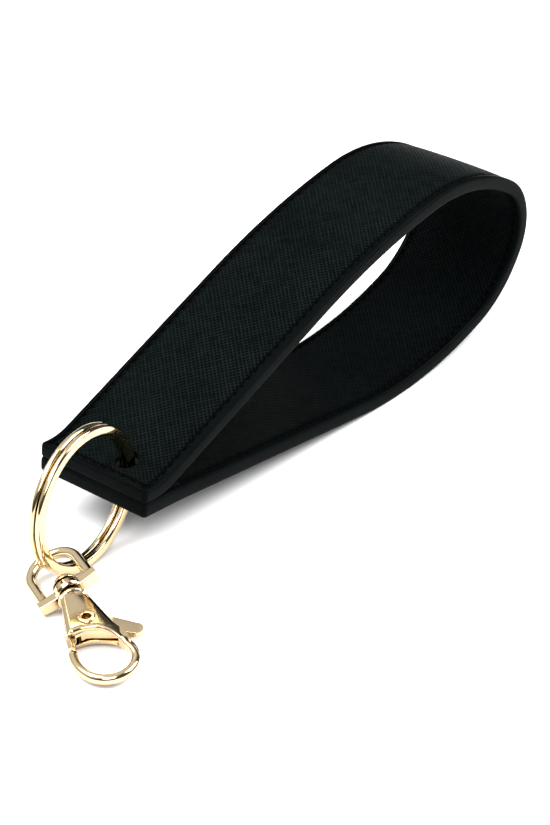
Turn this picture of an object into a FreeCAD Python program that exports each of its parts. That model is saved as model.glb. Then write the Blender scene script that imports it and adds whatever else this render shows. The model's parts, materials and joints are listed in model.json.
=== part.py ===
import FreeCAD, Part
import math
import os
import Sketcher
from FreeCAD import Placement, Rotation, Vector

# Wristlet keychain: a padded leather loop, a split ring through its punched end, and a swivelling
# trigger snap hook on the ring. Millimetres, +Z up, origin under the middle of the whole object.

DIMS = {
    # leather loop
    "strap_width": 28.0,
    "band_thick": 3.0,
    "ply_thick": 0.9,
    "coat_thick": 0.5,
    "leg_gap": 0.1,
    "corner_round": 0.9,
    "stack_run": 1.9,
    "lower_run": 8.0,
    "lift_radius": 14.0,
    "lift_turn": 26.3,
    "crown_radius": 173.0,
    "crown_turn": 13.2,
    "shoulder_radius": 42.2,
    "shoulder_turn": 40.9,
    "tip_radius": 12.5,
    "tip_turn": 83.9,
    "heel_radius": 25.4,
    "heel_turn": 43.4,
    "belly_radius": 89.7,
    "settle_radius": 119.0,
    "settle_turn": 2.1,
    "strap_start_x": -45.97,
    "strap_mid_y": 11.55,
    "strap_start_z": 13.57,
    "strap_pitch": 6.13,
    # punched hole in the stacked ends
    "hole_radius": 2.3,
    "hole_from_end": 5.8,
    "hole_offset": -3.88,
    # stitching
    "thread_radius": 0.3,
    "thread_sink": 0.29,
    "lining_seam_start": 12.0,
    "seam_inset": 1.5,
    "end_seam_inset": 1.9,
    # split ring
    "ring_outer": 15.3,
    "ring_inner": 12.95,
    "coil_thick": 1.38,
    "coil_gap": 0.06,
    "coil_round": 0.5,
    "jog_start": 330.0,
    "jog_sweep": 32.0,
    "ring_x": -53.67,
    "ring_y": 6.45,
    "ring_z": 15.3,
    "ring_yaw": 5.2,
    # swivel eye
    "eye_half_width": 5.15,
    "eye_reach": 12.6,
    "eye_bar_radius": 1.1,
    "eye_base_half": 1.1,
    "eye_base_depth": 2.3,
    "eye_shoulder": 0.1,
    "eye_hole": 1.55,
    "eye_boss_radius": 2.9,
    "eye_boss_round": 0.45,
    "eye_x": -66.17,
    "eye_y": -0.9,
    "eye_z": 3.8,
    "eye_yaw": -115.3,
    "eye_pitch": -1.5,
    "eye_roll": 23.9,
    # snap hook
    "hook_yaw": -119.8,
    "hook_pitch": 5.0,
    "hook_roll": 4.8,
    "post_radius": 1.25,
    "post_end": 5.0,
    "head_seat": 1.75,
    "head_radius": 2.6,
    "collar_start": 1.7,
    "collar_radius": 2.9,
    "bead_start": 2.1,
    "body_start": 2.7,
    "body_depth": 4.6,
    "neck_half": 2.5,
    "rim_x": 13.2,
    "rim_left": 4.3,
    "rim_right": 4.8,
    "loop_x": 20.7,
    "loop_y": 1.0,
    "loop_radius": 5.3,
    "wire_half": 0.95,
    "wire_depth_half": 1.1,
    "limb_angle": 112.0,
    "flare_angle": -60.0,
    "flare_radius": 8.75,
    "tip_angle": -102.0,
    "slot_depth": 2.6,
    "slot_start": 5.4,
    "window_start": 7.8,
    "window_end": 16.5,
    "pin_x": 10.5,
    "pin_y": 0.35,
    "pin_radius": 1.2,
    "pin_head_radius": 1.75,
    "pin_head_height": 0.35,
    "pin_clear": 0.06,
    # lever
    "lever_depth": 2.2,
    "lever_boss": 2.4,
    "arm_sink": 0.1,
    "gate_low_angle": -120.0,
    "gate_high_angle": -15.0,
    "gate_heel": 5.3,
    "gate_heel_angle": -71.0,
    "gate_hollow": 4.25,
    "gate_hollow_angle": -50.0,
    "gate_sweep": 7.9,
    "gate_angle": -37.0,
    "gate_spread": 6.0,
    "gate_gap": 0.25,
    "tab_reach": 10.7,
    "tab_angle": 61.0,
    "tab_spread": 8.0,
    "tab_shoulder": 9.8,
    "tab_root_spread": 75.0,
    # lever spring
    "spring_wire": 0.18,
    "spring_radius": 1.55,
    "spring_pitch": 0.42,
    "spring_turns": 1.944,
    "spring_low": -0.85,
    "spring_leg": 2.6,
    "spring_seat": 1.95,
    "seat_depth": 1.35,
}


def make_sheet(doc):
    sheet = doc.addObject("Spreadsheet::Sheet", "dims")
    for row, (alias, value) in enumerate(DIMS.items(), start=1):
        sheet.set(f"A{row}", alias)
        sheet.set(f"B{row}", str(value))
        sheet.setAlias(f"B{row}", alias)
    doc.recompute()
    return sheet


DOC = FreeCAD.newDocument("wristlet_keychain")
SHEET = make_sheet(DOC)
SUBPARTS = []


def dim(alias):
    return float(getattr(SHEET, alias))


# ---------------------------------------------------------------- document helpers

def new_body(name, placement):
    body = DOC.addObject("PartDesign::Body", name)
    body.Label = name
    body.Placement = placement
    SUBPARTS.append(body)
    return body


def origin_plane(body, role):
    for feature in body.Origin.OriginFeatures:
        if feature.Role == role:
            return feature
    raise ValueError(role)


def new_sketch(body, role, name, lift=None, lift_value=0.0):
    sketch = body.newObject("Sketcher::SketchObject", name)
    sketch.AttachmentSupport = [(origin_plane(body, role), "")]
    sketch.MapMode = "FlatFace"
    if lift is not None:
        sketch.setExpression("AttachmentOffset.Base.z", lift)
    elif lift_value:
        sketch.AttachmentOffset = Placement(Vector(0, 0, lift_value), Rotation())
    return sketch


def add_named(sketch, name, constraint, expression=None):
    index = sketch.addConstraint(constraint)
    sketch.renameConstraint(index, name)
    if expression is not None:
        sketch.setExpression("Constraints." + name, expression)


def closed_lines(sketch, points):
    count = len(points)
    first = sketch.GeometryCount
    for k in range(count):
        x0, y0 = points[k]
        x1, y1 = points[(k + 1) % count]
        sketch.addGeometry(Part.LineSegment(Vector(x0, y0, 0), Vector(x1, y1, 0)))
    for k in range(count):
        sketch.addConstraint(Sketcher.Constraint("Coincident", first + k, 2, first + (k + 1) % count, 1))
    return first


def circle(sketch, x, y, radius, expression):
    index = sketch.addGeometry(Part.Circle(Vector(x, y, 0), Vector(0, 0, 1), radius))
    sketch.addConstraint(Sketcher.Constraint("DistanceX", -1, 1, index, 3, x))
    sketch.addConstraint(Sketcher.Constraint("DistanceY", -1, 1, index, 3, y))
    add_named(sketch, f"radius_{index}", Sketcher.Constraint("Radius", index, radius), expression)
    return index


def pad(body, sketch, name, length_expression, midplane=False):
    feature = body.newObject("PartDesign::Pad", name)
    feature.Profile = sketch
    feature.setExpression("Length", length_expression)
    if midplane:
        feature.SideType = "Symmetric"
    return feature


def cut_both_ways(body, sketch, name, length_expression):
    feature = body.newObject("PartDesign::Pocket", name)
    feature.Profile = sketch
    feature.SideType = "Symmetric"
    feature.setExpression("Length", length_expression)
    return feature


# ---------------------------------------------------------------- leather loop

def strap_placement():
    base = Vector(dim("strap_start_x"), dim("strap_mid_y"), dim("strap_start_z"))
    return Placement(base, Rotation(0, dim("strap_pitch"), 0))


def strap_runs():
    """The band's middle line, from the upper end round to the lower end: (length, None) straights
    and (radius, turn) arcs, turn in radians and positive upwards. Two straights close the loop."""
    arcs = [(dim("lift_radius"), math.radians(dim("lift_turn")))]
    for name in ("crown", "shoulder", "tip", "heel"):
        arcs.append((dim(name + "_radius"), -math.radians(dim(name + "_turn"))))
    settle = math.radians(dim("settle_turn"))
    arcs.append((dim("belly_radius"), -math.pi - settle - sum(turn for _, turn in arcs)))
    start = Vector(0, (dim("band_thick") + dim("leg_gap")) / 2, 0)
    runs = [(dim("stack_run"), None), arcs[0], (0.0, None)] + arcs[1:]
    runs += [(0.0, None), (dim("settle_radius"), settle), (dim("lower_run"), None)]
    rise = arcs[0][1]
    base = -math.pi - settle
    # the rise and the base straights bring the line back to the lower end
    gap = Vector(0, -start.y, 0) - trace(runs, start)[-1]
    across = math.cos(rise) * math.sin(base) - math.sin(rise) * math.cos(base)
    runs[2] = ((gap.x * math.sin(base) - gap.y * math.cos(base)) / across, None)
    runs[8] = ((gap.y * math.cos(rise) - gap.x * math.sin(rise)) / across, None)
    return runs, start


def trace(runs, start):
    points = [start]
    heading = 0.0
    for size, turn in runs:
        along = Vector(math.cos(heading), math.sin(heading), 0)
        if turn is None:
            points.append(points[-1] + along * size)
            continue
        side = math.copysign(size, turn)
        centre = points[-1] + Vector(-math.sin(heading), math.cos(heading), 0) * side
        heading += turn
        points.append(centre - Vector(-math.sin(heading), math.cos(heading), 0) * side)
    return points


def strap_spine(body):
    runs, start = strap_runs()
    points = trace(runs, start)
    names = ("stack", "lift", "rise", "crown", "shoulder", "tip", "heel", "belly", "base", "settle", "lower")
    sketch = new_sketch(body, "XZ_Plane", body.Name + "_path")
    ends = []
    heading = 0.0
    for (size, turn), a, b in zip(runs, points, points[1:]):
        if turn is None:
            sketch.addGeometry(Part.LineSegment(a, b))
            ends.append((1, 2))
            continue
        side = math.copysign(size, turn)
        centre = a + Vector(-math.sin(heading), math.cos(heading), 0) * side
        middle = heading + turn / 2
        c = centre - Vector(-math.sin(middle), math.cos(middle), 0) * side
        sketch.addGeometry(Part.Arc(a, c, b) if turn > 0 else Part.Arc(b, c, a))
        ends.append((1, 2) if turn > 0 else (2, 1))
        heading += turn
    for k in range(len(runs) - 1):
        sketch.addConstraint(Sketcher.Constraint("Tangent", k, ends[k][1], k + 1, ends[k + 1][0]))
    last = len(runs) - 1
    sketch.addConstraint(Sketcher.Constraint("Horizontal", 0))
    sketch.addConstraint(Sketcher.Constraint("PointOnObject", 0, 1, -2))
    add_named(sketch, "start_rise", Sketcher.Constraint("DistanceY", -1, 1, 0, 1, start.y),
              "(dims.band_thick + dims.leg_gap) / 2")
    add_named(sketch, "stack_length", Sketcher.Constraint("DistanceX", 0, 1, 0, 2, runs[0][0]),
              "dims.stack_run")
    sketch.addConstraint(Sketcher.Constraint("Horizontal", last))
    sketch.addConstraint(Sketcher.Constraint("PointOnObject", last, 2, -2))
    add_named(sketch, "lower_length", Sketcher.Constraint("DistanceX", last, 2, last, 1, runs[last][0]),
              "dims.lower_run")
    add_named(sketch, "end_drop", Sketcher.Constraint("DistanceY", last, 2, -1, 1, start.y),
              "(dims.band_thick + dims.leg_gap) / 2")
    for k, ((size, turn), name) in enumerate(zip(runs, names)):
        if turn is not None:
            add_named(sketch, name + "_r", Sketcher.Constraint("Radius", k, size), f"dims.{name}_radius")
        if turn is not None and name != "belly":
            add_named(sketch, name + "_a", Sketcher.Constraint("Angle", k, abs(turn)),
                      f"dims.{name}_turn * 1 deg")
    return sketch


def sweep_along_strap(body, section):
    spine = strap_spine(body)
    pipe = body.newObject("PartDesign::AdditivePipe", body.Name + "_sweep")
    pipe.Profile = section
    pipe.Spine = spine
    return pipe


def hole_through_ends(body):
    sketch = new_sketch(body, "XY_Plane", body.Name + "_hole_sketch")
    circle(sketch, dim("hole_from_end"), dim("hole_offset"), dim("hole_radius"), "dims.hole_radius")
    cut_both_ways(body, sketch, body.Name + "_hole", "4 * dims.band_thick")


def round_end_corners(body):
    """Takes the two corners off both stacked ends with a plan outline of the waste."""
    half = dim("strap_width") / 2 - dim("coat_thick")
    r = dim("corner_round") - dim("coat_thick")
    inset = dim("coat_thick")
    sketch = new_sketch(body, "XY_Plane", body.Name + "_corner_sketch")
    for side in (1, -1):
        corner = Vector(inset - 1, side * (half + 1), 0)
        along = Vector(inset + r, side * (half + 1), 0)
        on_edge = Vector(inset + r, side * half, 0)
        mid = Vector(inset + r - r * math.sqrt(0.5), side * (half - r + r * math.sqrt(0.5)), 0)
        on_end = Vector(inset, side * (half - r), 0)
        back = Vector(inset - 1, side * (half - r), 0)
        for a, b in ((corner, along), (along, on_edge), (on_end, back), (back, corner)):
            sketch.addGeometry(Part.LineSegment(a, b))
        sketch.addGeometry(Part.Arc(on_edge, mid, on_end))
    cut_both_ways(body, sketch, body.Name + "_corners", "4 * dims.band_thick")


def trim_end(body):
    """Leaves room for the painted coat on both ends."""
    sketch = new_sketch(body, "XY_Plane", body.Name + "_end_sketch")
    half = dim("strap_width")
    closed_lines(sketch, [(-1, -half), (dim("coat_thick"), -half), (dim("coat_thick"), half), (-1, half)])
    cut_both_ways(body, sketch, body.Name + "_end_trim", "4 * dims.band_thick")


def add_ply(name, low, high, low_expression, high_expression):
    """One layer of the band, between two distances from the band's middle line."""
    body = new_body(name, strap_placement())
    half = dim("strap_width") / 2 - dim("coat_thick")
    mid = (dim("band_thick") + dim("leg_gap")) / 2
    section = new_sketch(body, "YZ_Plane", name + "_section")
    first = closed_lines(section, [(-half, mid + low), (half, mid + low), (half, mid + high), (-half, mid + high)])
    for k in (0, 2):
        section.addConstraint(Sketcher.Constraint("Horizontal", first + k))
    for k in (1, 3):
        section.addConstraint(Sketcher.Constraint("Vertical", first + k))
    add_named(section, "left", Sketcher.Constraint("DistanceX", first, 1, -1, 1, half),
              "dims.strap_width / 2 - dims.coat_thick")
    add_named(section, "right", Sketcher.Constraint("DistanceX", -1, 1, first, 2, half),
              "dims.strap_width / 2 - dims.coat_thick")
    add_named(section, "low", Sketcher.Constraint("DistanceY", -1, 1, first, 1, mid + low), low_expression)
    add_named(section, "high", Sketcher.Constraint("DistanceY", -1, 1, first + 2, 1, mid + high), high_expression)
    sweep_along_strap(body, section)
    trim_end(body)
    round_end_corners(body)
    hole_through_ends(body)


def add_plies():
    half = dim("band_thick") / 2
    inner = half - dim("ply_thick")
    mid = "(dims.band_thick + dims.leg_gap) / 2"
    add_ply("outer_leather", inner, half, mid + " + dims.band_thick / 2 - dims.ply_thick",
            mid + " + dims.band_thick / 2")
    add_ply("stiffener", -inner, inner, mid + " - dims.band_thick / 2 + dims.ply_thick",
            mid + " + dims.band_thick / 2 - dims.ply_thick")
    add_ply("lining_leather", -half, -inner, mid + " - dims.band_thick / 2",
            mid + " - dims.band_thick / 2 + dims.ply_thick")


def coat_profile(sketch, flat, out, low, high):
    """A shallow D: flat against the plies, crowned outwards."""
    a = Vector(flat, low, 0)
    b = Vector(flat, high, 0)
    crown = Vector(out, (low + high) / 2, 0)
    sketch.addGeometry(Part.LineSegment(a, b))
    sketch.addGeometry(Part.Arc(a, crown, b))


def add_edge_paint(name, side):
    body = new_body(name, strap_placement())
    half = dim("strap_width") / 2
    low = dim("leg_gap") / 2
    section = new_sketch(body, "YZ_Plane", name + "_section")
    coat_profile(section, side * (half - dim("coat_thick")), side * half, low, low + dim("band_thick"))
    sweep_along_strap(body, section)
    sketch = new_sketch(body, "XY_Plane", name + "_end_sketch")
    start = dim("corner_round")
    closed_lines(sketch, [(-1, -half - 1), (start, -half - 1), (start, half + 1), (-1, half + 1)])
    cut_both_ways(body, sketch, name + "_end_trim", "4 * dims.band_thick")


def add_end_paint(name, low):
    """The coat across one leg's end, round both corners."""
    body = new_body(name, strap_placement())
    half = dim("strap_width") / 2
    r = dim("corner_round")
    flat = half - dim("coat_thick")
    path = new_sketch(body, "XY_Plane", name + "_path")
    path.AttachmentOffset = Placement(Vector(0, 0, low + dim("band_thick") / 2), Rotation())
    diagonal = r * math.sqrt(0.5)
    a = Vector(r, half, 0)
    b = Vector(r - diagonal, half - r + diagonal, 0)
    c = Vector(0, half - r, 0)
    d = Vector(0, r - half, 0)
    e = Vector(r - diagonal, r - half - diagonal, 0)
    f = Vector(r, -half, 0)
    path.addGeometry(Part.Arc(a, b, c))
    path.addGeometry(Part.LineSegment(c, d))
    path.addGeometry(Part.Arc(d, e, f))
    path.addConstraint(Sketcher.Constraint("Coincident", 0, 2, 1, 1))
    path.addConstraint(Sketcher.Constraint("Coincident", 1, 2, 2, 1))
    section = new_sketch(body, "YZ_Plane", name + "_section", lift_value=r)
    coat_profile(section, flat, half, low, low + dim("band_thick"))
    pipe = body.newObject("PartDesign::AdditivePipe", name + "_sweep")
    pipe.Profile = section
    pipe.Spine = path


def add_seam(name, side, face):
    """One row of thread: the part that shows on one face of the band, at one long edge."""
    body = new_body(name, strap_placement())
    y = side * (dim("strap_width") / 2 - dim("seam_inset"))
    mid = (dim("band_thick") + dim("leg_gap")) / 2
    z = mid + face * (dim("band_thick") / 2 - dim("thread_sink"))
    section = new_sketch(body, "YZ_Plane", name + "_section")
    circle(section, y, z, dim("thread_radius"), "dims.thread_radius")
    sweep_along_strap(body, section)
    sketch = new_sketch(body, "XY_Plane", name + "_end_sketch")
    half = dim("strap_width")
    start = dim("end_seam_inset") + 2 * dim("thread_radius") if face > 0 else dim("lining_seam_start")
    closed_lines(sketch, [(-1, -half), (start, -half), (start, half), (-1, half)])
    cut_both_ways(body, sketch, name + "_end_trim", "6 * dims.band_thick")


def add_end_thread():
    """The row across the near end that closes the loop, as it shows above and below."""
    body = new_body("end_thread", strap_placement())
    height = dim("band_thick") + dim("leg_gap") / 2 - dim("thread_sink")
    sketch = new_sketch(body, "XZ_Plane", "end_thread_section")
    for side in (1, -1):
        circle(sketch, dim("end_seam_inset"), side * height, dim("thread_radius"), "dims.thread_radius")
    pad(body, sketch, "end_thread_row", "dims.strap_width - 2 * dims.seam_inset", midplane=True)


def build_strap():
    add_plies()
    add_edge_paint("left_edge_paint", 1)
    add_edge_paint("right_edge_paint", -1)
    add_end_paint("upper_end_paint", dim("leg_gap") / 2)
    add_end_paint("lower_end_paint", -dim("leg_gap") / 2 - dim("band_thick"))
    for side_name, side in (("left", 1), ("right", -1)):
        add_seam(side_name + "_top_thread", side, 1)
        add_seam(side_name + "_bobbin_thread", side, -1)
    add_end_thread()


# ---------------------------------------------------------------- split ring

def ring_placement():
    base = Vector(dim("ring_x"), dim("ring_y"), dim("ring_z"))
    return Placement(base, Rotation(dim("ring_yaw"), 0, 90))


def rounded_rectangle(centre, across, up, width, height, radius):
    """A wire of four straights and four arcs, in the plane of the unit vectors across and up."""
    edges = []
    w = width / 2
    k = height / 2
    corners = [(w, k, 0), (-w, k, 90), (-w, -k, 180), (w, -k, 270)]
    points = []
    for x, y, start in corners:
        cx = x - math.copysign(radius, x)
        cy = y - math.copysign(radius, y)
        arc = []
        for angle in (start, start + 45, start + 90):
            a = math.radians(angle)
            arc.append(centre + across * (cx + radius * math.cos(a)) + up * (cy + radius * math.sin(a)))
        points.append(arc)
    for k, arc in enumerate(points):
        edges.append(Part.Arc(*arc).toShape())
        edges.append(Part.LineSegment(arc[2], points[(k + 1) % 4][0]).toShape())
    return Part.Wire(edges)


def ring_point(degrees, height):
    radius = (dim("ring_outer") + dim("ring_inner")) / 2
    angle = math.radians(degrees)
    return Vector(radius * math.cos(angle), radius * math.sin(angle), height)


def build_split_ring():
    """Two flat coils side by side; the wire steps from one to the other over a short sweep."""
    side = (dim("coil_thick") + dim("coil_gap")) / 2
    jog_end = dim("jog_start") + dim("jog_sweep")
    coil = 360 - dim("jog_sweep")
    front = Part.Arc(ring_point(jog_end, side), ring_point(jog_end + coil / 2, side),
                     ring_point(jog_end + coil, side))
    back = Part.Arc(ring_point(jog_end, -side), ring_point(jog_end + coil / 2, -side),
                    ring_point(jog_end + coil, -side))
    steps = 8
    jog_points = []
    for k in range(steps + 1):
        share = k / steps
        rise = side * math.cos(math.pi * share)
        jog_points.append(ring_point(dim("jog_start") + share * dim("jog_sweep"), rise))
    jog = Part.BSplineCurve()
    tangents = []
    for degrees in (dim("jog_start"), jog_end):
        angle = math.radians(degrees)
        tangents.append(Vector(-math.sin(angle), math.cos(angle), 0))
    jog.interpolate(Points=jog_points, InitialTangent=tangents[0], FinalTangent=tangents[1])
    path = Part.Wire([front.toShape(), jog.toShape(), back.toShape()])
    outward = ring_point(jog_end, 0).normalize()
    section = rounded_rectangle(ring_point(jog_end, side), outward, Vector(0, 0, 1),
                                dim("ring_outer") - dim("ring_inner"), dim("coil_thick"), dim("coil_round"))
    sweep = Part.BRepOffsetAPI.MakePipeShell(path)
    sweep.setBiNormalMode(Vector(0, 0, 1))
    sweep.add(section)
    sweep.build()
    sweep.makeSolid()
    add_feature("split_ring", sweep.shape(), ring_placement())


def add_feature(name, shape, placement):
    feature = DOC.addObject("Part::Feature", name)
    feature.Label = name
    feature.Shape = shape
    feature.Placement = placement
    SUBPARTS.append(feature)
    return feature


# ---------------------------------------------------------------- swivel eye

def eye_centre():
    return Vector(dim("eye_x"), dim("eye_y"), dim("eye_z"))


def build_swivel_eye():
    """A D-shaped bow on a base bar, with a loose hole for the swivel post through the bar's round boss."""
    body = new_body("swivel_eye", Placement(eye_centre(), Rotation(dim("eye_yaw"), dim("eye_pitch"), dim("eye_roll"))))
    half = dim("eye_half_width")
    bow = half - dim("eye_shoulder")
    centre = dim("eye_reach") - bow
    # the sides run from the base bar's ends and touch the bow's circle
    reach = math.hypot(centre, half)
    swing = math.atan2(half, centre) + math.acos(bow / reach)
    touch = Vector(-centre + bow * math.cos(swing), bow * math.sin(swing), 0)
    path = new_sketch(body, "XY_Plane", "eye_path")
    path.addGeometry(Part.LineSegment(Vector(0, half, 0), touch))
    path.addGeometry(Part.Arc(touch, Vector(-dim("eye_reach"), 0, 0), Vector(touch.x, -touch.y, 0)))
    path.addGeometry(Part.LineSegment(Vector(touch.x, -touch.y, 0), Vector(0, -half, 0)))
    path.addConstraint(Sketcher.Constraint("Coincident", 0, 2, 1, 1))
    path.addConstraint(Sketcher.Constraint("Coincident", 1, 2, 2, 1))
    section = new_sketch(body, "YZ_Plane", "eye_section")
    circle(section, half, 0, dim("eye_bar_radius"), "dims.eye_bar_radius")
    pipe = body.newObject("PartDesign::AdditivePipe", "eye_bow")
    pipe.Profile = section
    pipe.Spine = path
    base = new_sketch(body, "XY_Plane", "eye_base_sketch")
    r = dim("eye_bar_radius")
    deep = dim("eye_base_half")
    end = half + r + 0.1
    flat = 0.62 * half
    closed_lines(base, [(-r, -end), (r * 0.7, -end), (deep, -flat), (deep, flat), (r * 0.7, end), (-r, end)])
    pad(body, base, "eye_base", "dims.eye_base_depth", midplane=True)
    boss = dim("eye_boss_radius")
    corner = dim("eye_boss_round")
    edge = boss - corner
    side = deep - corner
    revolve_round_x(body, "eye_boss", [
        (-deep, 0), (-deep, edge), (-side, boss), (side, boss), (deep, edge), (deep, 0)])
    hole = new_sketch(body, "YZ_Plane", "eye_hole_sketch")
    circle(hole, 0, 0, dim("eye_hole"), "dims.eye_hole")
    cut_both_ways(body, hole, "eye_hole_cut", "4 * dims.eye_bar_radius")


# ---------------------------------------------------------------- snap hook

def hook_placement():
    return Placement(eye_centre(), Rotation(dim("hook_yaw"), dim("hook_pitch"), dim("hook_roll")))


def revolve_round_x(body, name, profile):
    sketch = new_sketch(body, "XZ_Plane", name + "_profile")
    closed_lines(sketch, profile)
    feature = body.newObject("PartDesign::Revolution", name)
    feature.Profile = sketch
    feature.ReferenceAxis = (sketch, ["H_Axis"])
    feature.Angle = 360
    return feature


def build_swivel_post():
    """The riveted post: a shank fast in the hook's collar and a domed head inside the eye."""
    body = new_body("swivel_post", hook_placement())
    r = dim("post_radius")
    head = dim("head_radius")
    seat = -dim("head_seat")
    revolve_round_x(body, "post_turned", [
        (seat - 2.0, 0), (seat - 1.8, 0.45 * head), (seat - 1.2, 0.85 * head), (seat - 0.5, head),
        (seat, head), (seat, r), (dim("post_end"), r), (dim("post_end"), 0)])


def polar(radius, degrees):
    angle = math.radians(degrees)
    return Vector(radius * math.cos(angle), radius * math.sin(angle), 0)


def loop_point(degrees, radius):
    return Vector(dim("loop_x"), dim("loop_y"), 0) + polar(radius, degrees)


def pin_polar(radius, degrees):
    return Vector(dim("pin_x"), dim("pin_y"), 0) + polar(radius, degrees)


def flare_point(degrees):
    """A point of the wider arc that carries the wire on from the loop to its tip."""
    grow = dim("flare_radius") - dim("loop_radius")
    return loop_point(dim("flare_angle"), -grow) + polar(dim("flare_radius"), degrees)


def build_hook_body():
    """Cast body: collar, two cheeks with a slot between them, and the hook's open loop."""
    body = new_body("hook_body", hook_placement())
    start = dim("collar_start")
    collar = dim("collar_radius")
    bead = dim("bead_start")
    revolve_round_x(body, "collar", [
        (start, 0), (start, collar - 0.5), (bead, collar - 0.5), (bead, collar - 0.15), (bead + 0.15, collar),
        (bead + 0.6, collar), (bead + 0.75, collar - 0.15), (bead + 0.75, 0.85 * dim("neck_half")),
        (dim("body_start") + 2, 0.85 * dim("neck_half")), (dim("body_start") + 2, 0)])
    sketch = new_sketch(body, "XY_Plane", "cheek_sketch")
    x0 = dim("body_start")
    neck = dim("neck_half")
    rim = dim("rim_x")
    inside = dim("wire_half") - 0.15
    limb_in = loop_point(dim("limb_angle"), dim("loop_radius") - inside)
    limb_out = loop_point(dim("limb_angle"), dim("loop_radius") + inside)
    corners = [Vector(x0, neck, 0), Vector(x0, -neck, 0), Vector(rim, -dim("rim_left"), 0),
               Vector(rim + 0.4, 0.9 - dim("rim_left"), 0)]
    for a, b in zip(corners, corners[1:]):
        sketch.addGeometry(Part.LineSegment(a, b))
    sketch.addGeometry(Part.Arc(corners[-1], Vector(rim + 0.2, 0.3, 0), limb_in))
    sketch.addGeometry(Part.LineSegment(limb_in, limb_out))
    shoulder = Vector(rim, dim("rim_right"), 0)
    bulge = (shoulder + limb_out) * 0.5 + Vector(-0.12, 0.22, 0)
    sketch.addGeometry(Part.Arc(limb_out, bulge, shoulder))
    sketch.addGeometry(Part.LineSegment(shoulder, corners[0]))
    pad(body, sketch, "cheeks", "dims.body_depth", midplane=True)
    add_taper(body)
    add_loop(body)
    cut_slot(body)
    cut_tip(body)
    pin = new_sketch(body, "XY_Plane", "pin_hole_sketch")
    circle(pin, dim("pin_x"), dim("pin_y"), dim("pin_radius"), "dims.pin_radius")
    cut_both_ways(body, pin, "pin_hole", "2 * dims.body_depth")
    post = new_sketch(body, "YZ_Plane", "post_hole_sketch")
    circle(post, 0, 0, dim("post_radius"), "dims.post_radius")
    cut_both_ways(body, post, "post_hole", "2 * dims.post_end")


def add_taper(body):
    """Thins both cheeks towards the loop's wire."""
    sketch = new_sketch(body, "XZ_Plane", "taper_sketch")
    thick = dim("body_depth") / 2
    thin = dim("wire_depth_half")
    far = dim("loop_x") + 2
    for side in (1, -1):
        closed_lines(sketch, [(dim("rim_x") + 0.8, side * thick), (dim("loop_x") - 0.8, side * thin),
                              (far, side * thin), (far, side * (thick + 1)),
                              (dim("rim_x") + 0.8, side * (thick + 1))])
    cut_both_ways(body, sketch, "limb_taper", "4 * dims.loop_radius")


def add_loop(body):
    path = new_sketch(body, "XY_Plane", "loop_path")
    start = dim("limb_angle") + 5
    flare = dim("flare_angle")
    radius = dim("loop_radius")
    path.addGeometry(Part.Arc(loop_point(flare, radius), loop_point((start + flare) / 2, radius),
                              loop_point(start, radius)))
    path.addGeometry(Part.Arc(flare_point(dim("tip_angle")), flare_point((flare + dim("tip_angle")) / 2),
                              flare_point(flare)))
    path.addConstraint(Sketcher.Constraint("Tangent", 0, 1, 1, 2))
    angle = math.radians(start)
    outward = Vector(math.cos(angle), math.sin(angle), 0)
    section = body.newObject("Sketcher::SketchObject", "loop_section")
    section.AttachmentSupport = [(origin_plane(body, "XY_Plane"), "")]
    section.MapMode = "FlatFace"
    upright = Rotation(outward, Vector(0, 0, 1), outward.cross(Vector(0, 0, 1)), "XYZ")
    section.AttachmentOffset = Placement(loop_point(start, radius), upright)
    major = Vector(0, dim("wire_depth_half"), 0)
    minor = Vector(dim("wire_half"), 0, 0)
    section.addGeometry(Part.Ellipse(major, minor, Vector(0, 0, 0)))
    pipe = body.newObject("PartDesign::AdditivePipe", "loop")
    pipe.Profile = section
    pipe.Spine = path


def cut_slot(body):
    """The lever's slot: open at the left side, under the arch, and at the right for the thumb tab."""
    sketch = new_sketch(body, "XY_Plane", "slot_sketch")
    x0 = dim("slot_start")
    window = dim("window_start")
    window_end = dim("window_end")
    wide = dim("rim_right") + 4
    closed_lines(sketch, [(x0, -wide), (dim("rim_x") + 1.8, -wide), (dim("loop_x") - 3.5, 3.2),
                          (window_end, 3.6), (window_end, wide), (window, wide), (window, 2.4), (x0, 2.0)])
    cut_both_ways(body, sketch, "slot", "dims.slot_depth")


def cut_tip(body):
    """Ends the wire on an arc round the pin, so that the gate swings past it."""
    near = dim("gate_sweep") - 1.5
    far = dim("gate_sweep") + dim("gate_gap")
    a, b, c = pin_polar(far, -62), pin_polar(far, -42), pin_polar(far, -22)
    d, e = pin_polar(near, -22), pin_polar(near, -62)
    sketch = new_sketch(body, "XY_Plane", "tip_cut_sketch")
    sketch.addGeometry(Part.Arc(a, b, c))
    for p, q in ((c, d), (d, e), (e, a)):
        sketch.addGeometry(Part.LineSegment(p, q))
    cut_both_ways(body, sketch, "tip_cut", "4 * dims.wire_depth_half")


def build_pivot_pin():
    """A hollow rivet through both cheeks, headed at each end."""
    body = new_body("pivot_pin", hook_placement())
    sketch = new_sketch(body, "XZ_Plane", "pin_profile")
    half = dim("body_depth") / 2
    r = dim("pin_radius")
    head = dim("pin_head_radius")
    tall = dim("pin_head_height")
    bore = 0.7 * r
    floor = half - 1.0
    x = dim("pin_x")
    closed_lines(sketch, [
        (x, -half - tall), (x + head - 0.2, -half - tall), (x + head, -half - tall + 0.2), (x + head, -half),
        (x + r, -half), (x + r, half), (x + head, half), (x + head, half + tall - 0.2),
        (x + head - 0.2, half + tall), (x + bore + 0.15, half + tall), (x + bore, half + tall - 0.2),
        (x + bore, floor), (x, floor)])
    sketch.addGeometry(Part.LineSegment(Vector(x, -half, 0), Vector(x, half, 0)), True)
    feature = body.newObject("PartDesign::Revolution", "pin_turned")
    feature.Profile = sketch
    feature.ReferenceAxis = (sketch, ["Axis0"])
    feature.Angle = 360
    sketch.AttachmentOffset = Placement(Vector(0, 0, -dim("pin_y")), Rotation())


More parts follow.
